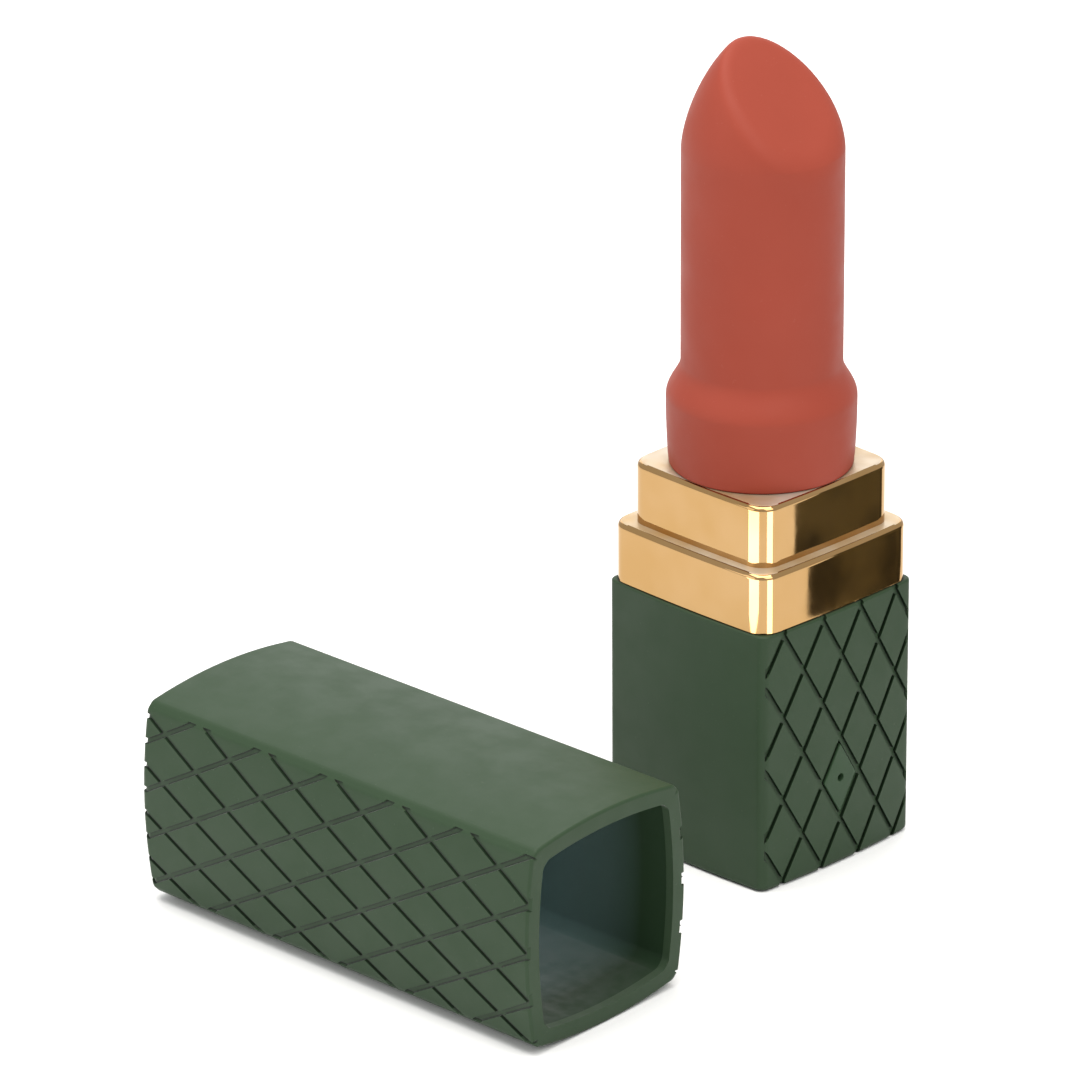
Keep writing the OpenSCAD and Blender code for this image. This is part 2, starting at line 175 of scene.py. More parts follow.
def moveMesh(piece, matrix):
    # moves the mesh and leaves the object at the origin
    piece.data.transform(matrix)
    piece.data.update()


# materials

def newMaterial(name):
    material = bpy.data.materials.new(name)
    material.use_nodes = True
    tree = material.node_tree
    tree.nodes.clear()
    output = tree.nodes.new("ShaderNodeOutputMaterial")
    shader = tree.nodes.new("ShaderNodeBsdfPrincipled")
    tree.links.new(shader.outputs["BSDF"], output.inputs["Surface"])
    coordinates = tree.nodes.new("ShaderNodeTexCoord")
    return material, tree, shader, coordinates.outputs["Object"]


def addNoise(tree, place, grain, detail=3.0, rough=0.55):
    # grain is the size of one blotch, in metres
    noise = tree.nodes.new("ShaderNodeTexNoise")
    noise.inputs["Scale"].default_value = 1 / grain
    noise.inputs["Detail"].default_value = detail
    noise.inputs["Roughness"].default_value = rough
    tree.links.new(place, noise.inputs["Vector"])
    return noise.outputs["Fac"]


def addRange(tree, value, low, high, fromLow=0.35, fromHigh=0.65):
    spread = tree.nodes.new("ShaderNodeMapRange")
    spread.inputs["From Min"].default_value = fromLow
    spread.inputs["From Max"].default_value = fromHigh
    spread.inputs["To Min"].default_value = low
    spread.inputs["To Max"].default_value = high
    tree.links.new(value, spread.inputs["Value"])
    return spread.outputs["Result"]


def addMix(tree, factor, first, second):
    mix = tree.nodes.new("ShaderNodeMix")
    mix.data_type = "RGBA"
    for socket, value in ((6, first), (7, second)):
        if isinstance(value, tuple):
            mix.inputs[socket].default_value = (*value, 1)
        else:
            tree.links.new(value, mix.inputs[socket])
    if isinstance(factor, float):
        mix.inputs[0].default_value = factor
    else:
        tree.links.new(factor, mix.inputs[0])
    return mix.outputs[2]


def addBump(tree, shader, heights):
    # heights are (value, strength, depth in metres), one bump after another
    last = None
    for value, strength, depth in heights:
        bump = tree.nodes.new("ShaderNodeBump")
        bump.inputs["Strength"].default_value = strength
        bump.inputs["Distance"].default_value = depth
        tree.links.new(value, bump.inputs["Height"])
        if last:
            tree.links.new(last, bump.inputs["Normal"])
        last = bump.outputs["Normal"]
    tree.links.new(last, shader.inputs["Normal"])


silicones = {               # the same for every rubber piece
    "driftGrain": 14 * mm, "speckGrain": 0.5 * mm, "glossGrain": 5 * mm,
    # the crease values set how far the painted shade in the creases reaches, and how dark it gets
    "paintedShadeReach": 0.32 * mm, "paintedShadeFull": 0.62, "paintedShadeNone": 0.93, "ior": 1.42,
}
# in each look, the crease colour is painted shade for the narrow creases
greenLook = {"deep": (0.0175, 0.0404, 0.0153), "pale": (0.0200, 0.0445, 0.0176),
             "dust": (0.050, 0.075, 0.045), "speckle": 0.35, "paintedCreaseShade": (0.0048, 0.0112, 0.0044),
             "roughLow": 0.50, "roughHigh": 0.58, "specular": 0.40}
# a darker copy of the green for the groove walls: painted shade
paintedShadeWallLook = {"deep": (0.0085, 0.0205, 0.0082), "pale": (0.0105, 0.0240, 0.0100),
            "dust": (0.015, 0.025, 0.014), "speckle": 0.35, "paintedCreaseShade": (0.0040, 0.0095, 0.0038),
            "roughLow": 0.60, "roughHigh": 0.70, "specular": 0.15}
sealLook = {"deep": (0.0190, 0.0480, 0.0190), "pale": (0.0240, 0.0560, 0.0230),
            "dust": (0.050, 0.080, 0.045), "speckle": 0.35, "paintedCreaseShade": (0.0030, 0.0070, 0.0028),
            "roughLow": 0.48, "roughHigh": 0.56, "specular": 0.40}
tipLook = {"deep": (0.272, 0.0452, 0.0255), "pale": (0.294, 0.0503, 0.0295),
           "dust": (0.38, 0.13, 0.10), "speckle": 0.10, "paintedCreaseShade": (0.150, 0.0180, 0.0090),
           "roughLow": 0.50, "roughHigh": 0.60, "specular": 0.23}


def silicone(name, look):
    # soft-touch rubber: broad tone drift, a satin grain, a few specks of dust, and painted shade in
    # the creases
    material, tree, shader, place = newMaterial(name)
    drift = addRange(tree, addNoise(tree, place, silicones["driftGrain"], 2), 0, 1, 0.2, 0.8)
    tone = addMix(tree, drift, look["deep"], look["pale"])
    specks = addRange(tree, addNoise(tree, place, silicones["speckGrain"], 1),
                      0, look["speckle"], 0.735, 0.78)
    colour = addMix(tree, specks, tone, look["dust"])
    # painted shade: the colour darkens in the narrow creases, where the walls keep the light out
    paintedCreaseShade = tree.nodes.new("ShaderNodeAmbientOcclusion")
    paintedCreaseShade.samples = 8
    paintedCreaseShade.inputs["Distance"].default_value = silicones["paintedShadeReach"]
    unshadedShare = addRange(tree, paintedCreaseShade.outputs["AO"], 0, 1,
                     silicones["paintedShadeFull"], silicones["paintedShadeNone"])
    colour = addMix(tree, unshadedShare, look["paintedCreaseShade"], colour)
    tree.links.new(colour, shader.inputs["Base Color"])
    gloss = addRange(tree, addNoise(tree, place, silicones["glossGrain"], 3),
                     look["roughLow"], look["roughHigh"])
    tree.links.new(gloss, shader.inputs["Roughness"])
    shader.inputs["IOR"].default_value = silicones["ior"]
    shader.inputs["Specular IOR Level"].default_value = look["specular"]
    addBump(tree, shader, [(addNoise(tree, place, 0.12 * mm, 2), 0.22, 0.02 * mm),
                           (addNoise(tree, place, 3 * mm, 2), 0.10, 0.05 * mm)])
    return material


goldLook = {"warm": (0.435, 0.262, 0.104), "pale": (0.460, 0.286, 0.128),
            "roughLow": 0.03, "roughHigh": 0.06, "metallic": 1}
paintedReflectionLook = {"warm": (0.50, 0.34, 0.16), "pale": (0.60, 0.53, 0.43),    # painted reflection: paler and duller on the upward faces
             "roughLow": 0.30, "roughHigh": 0.45, "metallic": 0.55}


def goldPlating(name, look):
    # plated moulding, with faint waves and hairlines left by the polish
    material, tree, shader, place = newMaterial(name)
    tone = addMix(tree, addRange(tree, addNoise(tree, place, 9 * mm, 2), 0, 1),
                  look["warm"], look["pale"])
    tree.links.new(tone, shader.inputs["Base Color"])
    shader.inputs["Metallic"].default_value = look["metallic"]
    gloss = addRange(tree, addNoise(tree, place, 2.5 * mm, 4), look["roughLow"], look["roughHigh"])
    tree.links.new(gloss, shader.inputs["Roughness"])
    addBump(tree, shader, [(addNoise(tree, place, 7 * mm, 1), 0.12, 0.06 * mm),
                           (addNoise(tree, place, 0.3 * mm, 3), 0.02, 0.01 * mm)])
    return material


plasticLooks = {
    "coverPlastic": {"deep": (0.016, 0.024, 0.018), "pale": (0.026, 0.036, 0.028), "rough": 0.45,
                     "grain": 0.15 * mm, "bump": 0.25},
    "keyPlastic": {"deep": (0.030, 0.046, 0.034), "pale": (0.042, 0.060, 0.046), "rough": 0.38,
                   "grain": 0.15 * mm, "bump": 0.2},
    "innerPlastic": {"deep": (0.16, 0.18, 0.20), "pale": (0.22, 0.24, 0.26), "rough": 0.5,
                     "grain": 0.2 * mm, "bump": 0.2},
    "blackPlastic": {"deep": (0.012, 0.012, 0.012), "pale": (0.024, 0.024, 0.024), "rough": 0.4,
                     "grain": 0.15 * mm, "bump": 0.2},
    "blackRubber": {"deep": (0.010, 0.010, 0.010), "pale": (0.020, 0.020, 0.019), "rough": 0.7,
                    "grain": 0.2 * mm, "bump": 0.3},
    "whitePlastic": {"deep": (0.62, 0.61, 0.56), "pale": (0.74, 0.73, 0.68), "rough": 0.42,
                     "grain": 0.2 * mm, "bump": 0.15},
    "cellWrap": {"deep": (0.02, 0.10, 0.30), "pale": (0.03, 0.15, 0.40), "rough": 0.28,
                 "grain": 1.2 * mm, "bump": 0.2},
    "boardLacquer": {"deep": (0.008, 0.060, 0.022), "pale": (0.014, 0.090, 0.034), "rough": 0.3,
                     "grain": 0.6 * mm, "bump": 0.25},
    "partCeramic": {"deep": (0.25, 0.18, 0.10), "pale": (0.36, 0.27, 0.17), "rough": 0.45,
                    "grain": 0.2 * mm, "bump": 0.2},
    "foam": {"deep": (0.05, 0.05, 0.05), "pale": (0.10, 0.10, 0.10), "rough": 0.9,
             "grain": 0.25 * mm, "bump": 0.9},
    "redWire": {"deep": (0.36, 0.015, 0.012), "pale": (0.48, 0.03, 0.02), "rough": 0.35,
                "grain": 0.5 * mm, "bump": 0.1},
    "blueWire": {"deep": (0.02, 0.05, 0.32), "pale": (0.03, 0.08, 0.44), "rough": 0.35,
                 "grain": 0.5 * mm, "bump": 0.1},
}


def plastic(name, look):
    material, tree, shader, place = newMaterial(name)
    tone = addMix(tree, addRange(tree, addNoise(tree, place, 6 * mm, 3), 0, 1),
                  look["deep"], look["pale"])
    tree.links.new(tone, shader.inputs["Base Color"])
    gloss = addRange(tree, addNoise(tree, place, 2 * mm, 4),
                     look["rough"] - 0.05, look["rough"] + 0.06)
    tree.links.new(gloss, shader.inputs["Roughness"])
    addBump(tree, shader, [(addNoise(tree, place, look["grain"], 3), look["bump"], 0.02 * mm)])
    return material


metalLooks = {
    "plainSteel": {"deep": (0.42, 0.42, 0.42), "pale": (0.62, 0.62, 0.61), "rough": 0.3},
    "weightBrass": {"deep": (0.50, 0.34, 0.12), "pale": (0.66, 0.47, 0.20), "rough": 0.32},
}


def metal(name, look):
    material, tree, shader, place = newMaterial(name)
    tone = addMix(tree, addRange(tree, addNoise(tree, place, 2 * mm, 5), 0, 1),
                  look["deep"], look["pale"])
    tree.links.new(tone, shader.inputs["Base Color"])
    shader.inputs["Metallic"].default_value = 1
    gloss = addRange(tree, addNoise(tree, place, 0.8 * mm, 4),
                     look["rough"] - 0.08, look["rough"] + 0.1)
    tree.links.new(gloss, shader.inputs["Roughness"])
    addBump(tree, shader, [(addNoise(tree, place, 0.3 * mm, 3), 0.12, 0.01 * mm)])
    return material


# mouth is painted shade, and deep is the blue grey lightened as painted light, graded along X
linerLook = {"mouth": (0.012, 0.030, 0.0115), "deep": (0.220, 0.340, 0.340), "rough": 0.45,
             "mouthAt": 20 * mm, "deepAt": -2 * mm,      # along X
             "clouds": (0.03, 0.05, 0.045), "cloudShare": 0.06, "specular": 0.10}


def linerPlastic(name, look):
    # smooth moulding; painted shade makes it dark green near the mouth, and further in it turns
    # blue grey, lightened as painted light
    material, tree, shader, place = newMaterial(name)
    split = tree.nodes.new("ShaderNodeSeparateXYZ")
    tree.links.new(place, split.inputs[0])
    shadeToLight = addRange(tree, split.outputs["X"], 0, 1, look["mouthAt"], look["deepAt"])
    tone = addMix(tree, shadeToLight, look["mouth"], look["deep"])
    clouds = addRange(tree, addNoise(tree, place, 5 * mm, 3), 0, look["cloudShare"])
    colour = addMix(tree, clouds, tone, look["clouds"])
    tree.links.new(colour, shader.inputs["Base Color"])
    gloss = addRange(tree, addNoise(tree, place, 2 * mm, 4),
                     look["rough"] - 0.05, look["rough"] + 0.06)
    tree.links.new(gloss, shader.inputs["Roughness"])
    shader.inputs["Specular IOR Level"].default_value = look["specular"]
    addBump(tree, shader, [(addNoise(tree, place, 0.3 * mm, 3), 0.05, 0.02 * mm)])
    return material


clearLook = {"deep": (0.86, 0.88, 0.84), "pale": (0.93, 0.94, 0.90), "through": 0.7}


def clearPlastic(name, look):
    material, tree, shader, place = newMaterial(name)
    tone = addMix(tree, addRange(tree, addNoise(tree, place, 2 * mm, 2), 0, 1),
                  look["deep"], look["pale"])
    tree.links.new(tone, shader.inputs["Base Color"])
    shader.inputs["Transmission Weight"].default_value = look["through"]
    gloss = addRange(tree, addNoise(tree, place, 0.6 * mm, 3), 0.18, 0.3)
    tree.links.new(gloss, shader.inputs["Roughness"])
    return material


materials = {"green": silicone("greenSilicone", greenLook),
             "paintedShadeWall": silicone("paintedShadeWall", paintedShadeWallLook),
             "seal": silicone("sealSilicone", sealLook),
             "terracotta": silicone("tipSilicone", tipLook),
             "gold": goldPlating("goldPlating", goldLook),
             "paintedReflectionGold": goldPlating("paintedReflectionPlating", paintedReflectionLook),
             "linerPlastic": linerPlastic("linerPlastic", linerLook),
             "clear": clearPlastic("clearPlastic", clearLook)}
for name, look in plasticLooks.items():
    materials[name] = plastic(name, look)
for name, look in metalLooks.items():
    materials[name] = metal(name, look)


def dress(piece, *names):
    piece.data.materials.clear()
    for name in names:
        piece.data.materials.append(materials[name])


# the inner CAD nodes keep their shapes and get real finishes
nodeFinish = {
    "base_gasket": "blackRubber", "housing_front": "innerPlastic", "housing_rear": "innerPlastic",
    "housing_screws": "plainSteel", "charging_jack": "blackPlastic", "jack_pins": "plainSteel",
    "circuit_board": "boardLacquer", "controller_chip": "blackPlastic",
    "board_parts": "partCeramic",
    "tact_switch": "blackPlastic", "status_led": "clear", "light_pipe": "clear",
    "battery_cell": "cellWrap", "battery_cup": "innerPlastic", "battery_pad": "foam",
    "battery_leads": "redWire", "motor_leads": "blueWire", "seal_ring": "blackRubber",
    "tip_core": "innerPlastic", "motor_holder": "blackRubber", "motor_can": "plainSteel",
    "motor_end_cap": "whitePlastic", "motor_shaft": "plainSteel", "eccentric_weight": "weightBrass",
    "switch_plunger": "blackPlastic",
}
for name, finish in nodeFinish.items():
    dress(nodes[name], finish)
print("materials made:", len(materials))


# quilted silicone sleeve, used for the case and for the cap

quilt = {
    "across": 4,                # whole diamonds across a face
    "diamondHeight": 11.9 * mm,
    "grooveWidth": 0.72 * mm,
    "grooveDepth": 0.40 * mm,
    "padEdge": 0.08 * mm,       # soft edge of a pad
    "bow": 0.7 * mm,            # how far a face of the case bulges
    "corner": 1.1 * mm,
    "turnLimit": 0.88,          # how far round a corner the pattern runs, as a normal's x
}


def patternSlope(half):
    return math.atan2(quilt["diamondHeight"], 2 * half / quilt["across"])


def inGroove(point, half, middle):
    # is a point on an X face inside one of the crossed grooves?
    slope = patternSlope(half)
    for lean in (-1, 1):
        turns = (point.z - middle - lean * point.y * math.tan(slope)) / quilt["diamondHeight"] - 0.5
        gap = abs(turns - round(turns)) * quilt["diamondHeight"] * math.cos(slope)
        if gap < quilt["grooveWidth"] / 2:
            return True
    return False


def sliceUpright(piece, half, count):
    # upright cuts let the flat faces bulge
    for k in range(1 - count, count):
        place = half * k / count
        sliceFaces(piece, lambda c, n: abs(n.x) > 0.9, (0, place, 0), (0, 1, 0))
        sliceFaces(piece, lambda c, n: abs(n.y) > 0.9, (place, 0, 0), (1, 0, 0))


def dropEnds(*heights):
    # deletes the flat end faces at the given heights
    piece = bpy.context.active_object
    pickFaces(piece, lambda c, n: False)
    bm = bmesh.from_edit_mesh(piece.data)
    for face in bm.faces:
        for height in heights:
            if all(near(v.co.z, height, 0.002 * mm) for v in face.verts):
                face.select_set(True)
    bmesh.update_edit_mesh(piece.data)
    bpy.ops.mesh.delete(type="ONLY_FACE")


def openLoop(height, reach=1.0):
    # selects the open edges at a height, out to a reach from the axis
    piece = bpy.context.active_object
    bpy.ops.mesh.select_mode(type="EDGE")
    bpy.ops.mesh.select_all(action="DESELECT")
    bm = bmesh.from_edit_mesh(piece.data)
    for edge in bm.edges:
        if edge.is_boundary and all(near(v.co.z, height) and max(abs(v.co.x), abs(v.co.y)) < reach
                                    for v in edge.verts):
            edge.select_set(True)
    bmesh.update_edit_mesh(piece.data)


def roundIn(half, radius, height, sign=1, steps=4):
    # turns the selected loop inwards over a rounded edge that rises or falls
    inset, climb = 0, 0
    for k in range(1, steps + 1):
        turn = math.pi / 2 * k / steps
        newInset, newClimb = radius * (1 - math.cos(turn)), radius * math.sin(turn)
        growLoop((half - newInset) / (half - inset), sign * (newClimb - climb),
                 height + sign * climb)
        inset, climb = newInset, newClimb


def quiltedShell(name, half, bow, bottom, top, middle, keepOut=None):
    # open square tube whose two X faces carry the pads; keepOut leaves one pad out
    depth, width, limit = quilt["grooveDepth"], quilt["grooveWidth"], quilt["turnLimit"]
    shell = addBar(name, half - depth, quilt["corner"] - depth, bottom, top, 6)
    startEdit(shell)
    dropEnds(bottom, top)
    sliceUpright(shell, half, 2 * quilt["across"])
    # both edges of every groove
    slope = patternSlope(half)
    rise = half * math.tan(slope)
    first = math.floor((bottom - rise - middle) / quilt["diamondHeight"]) - 1
    last = math.ceil((top + rise - middle) / quilt["diamondHeight"])
    for lean in (-1, 1):
        across = Vector((0, -lean * math.sin(slope), math.cos(slope)))
        for k in range(first, last + 1):
            for side in (-1, 1):
                point = Vector((0, 0, middle + (k + 0.5) * quilt["diamondHeight"]))
                sliceFaces(shell, lambda c, n: abs(n.x) > limit,
                           point + across * side * width / 2, across)
    # everything but the grooves is raised to the outer face, and its rims are softened
    def isRaised(c, n):
        if abs(n.x) > limit and inGroove(c, half, middle):
            return False
        return not (keepOut and keepOut(c, n))
    pickFaces(shell, isRaised)
    bpy.ops.mesh.extrude_region_shrink_fatten(
        TRANSFORM_OT_shrink_fatten={"value": depth, "use_even_offset": True})
    bpy.ops.mesh.region_to_loop()
    bm = bmesh.from_edit_mesh(shell.data)
    for edge in bm.edges:
        a, b = (v.co.z for v in edge.verts)
        if (near(a, bottom) and near(b, bottom)) or (near(a, top) and near(b, top)):
            edge.select_set(False)
    bmesh.update_edit_mesh(shell.data)
    bpy.ops.mesh.bevel(offset=quilt["padEdge"], segments=2, affect="EDGES", clamp_overlap=True)
    dropEnds(bottom, top)
    # the steep sides of the pads get a darker, duller copy of the green: painted shade for the
    # walls deep in the grooves
    dress(shell, "green", "paintedShadeWall")
    bm = bmesh.from_edit_mesh(shell.data)
    inner, outer = half - depth + 0.02 * mm, half - 0.02 * mm
    for face in bm.faces:
        centre = face.calc_center_median()
        steep, onFace = abs(face.normal.x) < 0.5, abs(centre.y) < half - 1 * mm
        if steep and onFace and inner < abs(centre.x) < outer:
            face.material_index = 1
    bmesh.update_edit_mesh(shell.data)
    endEdit()
    bulge(shell, bow / half)
    return shell


wallCuts = 8                    # upright cuts from the middle of a smooth face to its edge


def lining(half, corner, bottom, top, bow, closed=None):
    # an inside-out bar for the inner wall, closed at the bottom or top if asked
    wall = addBar("lining", half, corner, bottom, top, 5)
    startEdit(wall)
    ends = [h for h in (bottom, top) if closed is None or not near(h, closed)]
    dropEnds(*ends)
    sliceUpright(wall, half, wallCuts)
    endEdit()
    bulge(wall, bow / half)
    startEdit(wall)
    bpy.ops.mesh.select_all(action="SELECT")
    bpy.ops.mesh.flip_normals()
    endEdit()
    dress(wall, "green")
    return wall


def joinInto(piece, *others):
    deselectAll()
    for other in others:
        other.select_set(True)
    piece.select_set(True)
    bpy.context.view_layer.objects.active = piece
    bpy.ops.object.join()


def fillRing(piece, height, reach=1.0):
    # closes the flat ring between the open loops at a height
    startEdit(piece)
    openLoop(height, reach)
    bpy.ops.mesh.fill(use_beauty=True)
    endEdit()


def carve(piece, cutter):
    # cuts one piece by another, and throws the cutter away
    addModifier(piece, "BOOLEAN", operation="DIFFERENCE", solver="EXACT", object=cutter)
    bpy.data.objects.remove(cutter, do_unlink=True)


caseLow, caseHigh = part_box("case_sleeve")
portLow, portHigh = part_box("port_seal")
caseSpec = {
    "half": (caseHigh[0] - caseLow[0]) / 2 - quilt["bow"],
    "top": caseHigh[2],
    "portHeight": (portLow[2] + portHigh[2]) / 2,
    "wall": 1.2 * mm,
    "innerCorner": 0.7 * mm,
    "floor": 1.4 * mm,
    "openHalf": 10.4 * mm,      # half of the opening in the floor, at its corners
    "openCorner": 0.5 * mm,
    "openBow": 0.6 * mm,
    "rim": 0.35 * mm,
    "foot": 0.8 * mm,
    "socketGap": -0.05 * mm,    # the seal's socket reaches this far into the grooves round it
    "socketDepth": 4 * mm,
}


def diamondBar(name, shrink, back, front, shift=0.0):
    # a lying bar with the outline of one diamond, from x = back to front
    half, middle = caseSpec["half"], caseSpec["portHeight"]
    deselectAll()
    bpy.ops.mesh.primitive_cylinder_add(vertices=4, radius=1, depth=front - back,
                                        location=((front + back) / 2, shift, middle),
                                        rotation=(0, math.pi / 2, 0))
    bar = bpy.context.active_object
    bar.name = name
    bar.scale = (shrink * quilt["diamondHeight"] / 2, shrink * half / quilt["across"], 1)
    bpy.ops.object.transform_apply(location=True, rotation=True, scale=True)
    return bar


def diamondShrink(inset):
    # how much smaller a diamond gets when its sides move in
    slope = patternSlope(caseSpec["half"])
    reach = caseSpec["half"] / quilt["across"] * math.sin(slope)
    return (reach - inset) / reach


def buildCaseSleeve():
    half, top, middle = caseSpec["half"], caseSpec["top"], caseSpec["portHeight"]
    pitch = half / quilt["across"]

    def portPad(c, n):
        # the diamond that the port seal takes the place of
        rise = quilt["diamondHeight"] / 2
        return n.x > 0.9 and abs(c.y) / pitch + abs(c.z - middle) / rise < 0.9

    foot, rim = caseSpec["foot"], caseSpec["rim"]
    shell = quiltedShell("caseSleeve", half, quilt["bow"], foot, top - rim, middle, portPad)
    startEdit(shell)
    openLoop(top - rim)
    roundIn(half, rim, top - rim)
    openLoop(foot)
    roundIn(half, foot, foot, -1, 5)
    endEdit()
    inner = lining(half - caseSpec["wall"], caseSpec["innerCorner"], caseSpec["floor"], top,
                   quilt["bow"])
    hole = lining(caseSpec["openHalf"], caseSpec["openCorner"], 0, caseSpec["floor"],
                  caseSpec["openBow"])
    joinInto(shell, inner, hole)
    for height in (0, caseSpec["floor"], top):
        fillRing(shell, height)
    closeUp(shell)
    cutter = diamondBar("cutter", diamondShrink(quilt["grooveWidth"] / 2 + caseSpec["socketGap"]),
                        half - caseSpec["socketDepth"], half + caseSpec["socketDepth"])
    carve(shell, cutter)
    smooth(shell)
    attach(shell, "case")
    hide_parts("case_sleeve")
    return shell


caseSleeve = buildCaseSleeve()
print("case sleeve:", len(caseSleeve.data.polygons), "faces")


# port seal: one diamond as a soft plug with a pinhole

sealSpec = {
    "pinhole": 1.1 * mm,
    "pinholeEdge": 0.08 * mm,
    "pinholeDepth": 8 * mm,
    "edge": 0.14 * mm,
    "gap": 0.13 * mm,
    "shift": -0.09 * mm,        # it sits a little to one side in its socket
    "round": 0.3 * mm,
    "back": 0.05 * mm,          # stops short of the wall's inner face
    "cut": 0.75 * mm,           # spacing of the upright cuts that let it bulge
}


def buildPortSeal():
    half, middle = caseSpec["half"], caseSpec["portHeight"]
    shrink = diamondShrink(quilt["grooveWidth"] / 2 + sealSpec["gap"])
    seal = diamondBar("portSeal", shrink, half - caseSpec["wall"] + sealSpec["back"], half,
                      sealSpec["shift"])
    startEdit(seal)
    pickEdges(seal, lambda a, b: near(a.y, b.y) and near(a.z, b.z))
    bpy.ops.mesh.bevel(offset=sealSpec["round"], segments=4, affect="EDGES", clamp_overlap=False)
    pickEdges(seal, lambda a, b: near(a.x, half) and near(b.x, half))
    bpy.ops.mesh.bevel(offset=sealSpec["edge"], segments=3, affect="EDGES", clamp_overlap=False)
    for k in range(-3, 4):
        sliceFaces(seal, lambda c, n: abs(n.x) > 0.9, (0, k * sealSpec["cut"], 0), (0, 1, 0))
    endEdit()
    deselectAll()
    bpy.ops.mesh.primitive_cylinder_add(vertices=32, radius=sealSpec["pinhole"] / 2,
                                        depth=sealSpec["pinholeDepth"],
                                        location=(half, 0, middle), rotation=(0, math.pi / 2, 0))
    carve(seal, bpy.context.active_object)
    startEdit(seal)

    def onRim(v):
        return near(v.x, half) and near(math.hypot(v.y, v.z - middle), sealSpec["pinhole"] / 2)

    pickEdges(seal, lambda a, b: onRim(a) and onRim(b))
    bpy.ops.mesh.bevel(offset=sealSpec["pinholeEdge"], segments=2, affect="EDGES",
                       clamp_overlap=True)
    endEdit()
    closeUp(seal)
    bulge(seal, quilt["bow"] / half)
    smooth(seal)
    dress(seal, "seal")
    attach(seal, "case")
    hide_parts("port_seal")
    return seal


portSeal = buildPortSeal()
print("port seal:", len(portSeal.data.polygons), "faces")


# plated collar in two steps

collarLow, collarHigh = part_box("collar")
collarSpec = {
    "bottom": caseSpec["top"],
    "ledge": 45.4 * mm,
    "top": collarHigh[2],
    "lowHalf": (collarHigh[0] - collarLow[0]) / 2 - 0.38 * mm,
    "lowBow": 0.38 * mm,
    "highHalf": 12.38 * mm,
    "highBow": 0.3 * mm,
    "lowCorner": 2.6 * mm,
    "highCorner": 2.7 * mm,
    "edge": 0.75 * mm,          # rounding of the two upper edges
    "bottomEdge": 0.15 * mm,
    "wall": 1.4 * mm,
    "innerCorner": 0.8 * mm,
    "bore": 8.8 * mm,
    "boreDepth": 4 * mm,
    "ledgeLimit": 0.95,         # flatter faces than this get the painted reflection finish, as a normal's z
}


def block(half, corner, bottom, top, bow, openEnds):
    # a bulged bar with some ends open
    bar = addBar("block", half, corner, bottom, top, 8)
    startEdit(bar)
    dropEnds(*openEnds)
    sliceUpright(bar, half, wallCuts)
    endEdit()
    bulge(bar, bow / half)
    return bar


def buildCollar():
    spec = collarSpec
    edge, foot = spec["edge"], spec["bottomEdge"]
    low = block(spec["lowHalf"], spec["lowCorner"], spec["bottom"] + foot, spec["ledge"] - edge,
                spec["lowBow"], (spec["bottom"] + foot, spec["ledge"] - edge))
    startEdit(low)
    openLoop(spec["ledge"] - edge)
    roundIn(spec["lowHalf"], edge, spec["ledge"] - edge, 1, 7)
    openLoop(spec["bottom"] + foot)
    roundIn(spec["lowHalf"], foot, spec["bottom"] + foot, -1, 3)
    endEdit()
    high = block(spec["highHalf"], spec["highCorner"], spec["ledge"], spec["top"] - edge,
                 spec["highBow"], (spec["ledge"], spec["top"] - edge))
    startEdit(high)
    openLoop(spec["top"] - edge)
    roundIn(spec["highHalf"], edge, spec["top"] - edge, 1, 7)
    endEdit()
    innerLow = lining(spec["lowHalf"] - spec["wall"], spec["innerCorner"], spec["bottom"],
                      spec["ledge"] - spec["wall"], spec["lowBow"])
    innerHigh = lining(spec["highHalf"] - spec["wall"], spec["innerCorner"],
                       spec["ledge"] - spec["wall"], spec["top"] - spec["wall"], spec["highBow"])
    low.name = "collar"
    joinInto(low, high, innerLow, innerHigh)
    for height in (spec["bottom"], spec["ledge"], spec["ledge"] - spec["wall"]):
        fillRing(low, height)
    # the top is a plate with a round way through it
    startEdit(low)
    for height in (spec["top"], spec["top"] - spec["wall"]):
        openLoop(height)
        bpy.ops.mesh.edge_face_add()
    endEdit()
    closeUp(low)
    deselectAll()
    bpy.ops.mesh.primitive_cylinder_add(vertices=96, radius=spec["bore"], depth=spec["boreDepth"],
                                        location=(0, 0, spec["top"] - 1 * mm))
    carve(low, bpy.context.active_object)
    smooth(low, 35)
    # the upward faces, the two upper ledges, get a paler, duller plating: painted reflection of the
    # pale studio above
    dress(low, "gold", "paintedReflectionGold")
    for face in low.data.polygons:
        face.material_index = int(face.normal.z > spec["ledgeLimit"])
    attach(low, "case")
    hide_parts("collar")
    return low


collar = buildCollar()
print("collar:", len(collar.data.polygons), "faces")


# soft tip with a slanted end

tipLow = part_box("tip_sleeve")[0]
tipSpec = {
    "skirt": 12.25 * mm,
    "swell": 0.38 * mm,
    "skirtHeight": 9.4 * mm,
    "shoulder": 5.0 * mm,
    "radius": 10.7 * mm,
    "straight": 43.7 * mm,
    "dome": 16.8 * mm,
    "point": 1.26,              # over 1 makes the end more pointed
    "slantAngle": 44.5,
    "slantLift": 0.15 * mm,
    "slantSoft": 1.8 * mm,      # how far the rim of the slant is rounded
    "pressFrom": 4 * mm,        # the slant is pressed towards a point this far under the dome
    "foot": 0.25 * mm,
    "coreRadius": 8.75 * mm,
    "coreTop": 42.15 * mm,
    "around": 128,
}


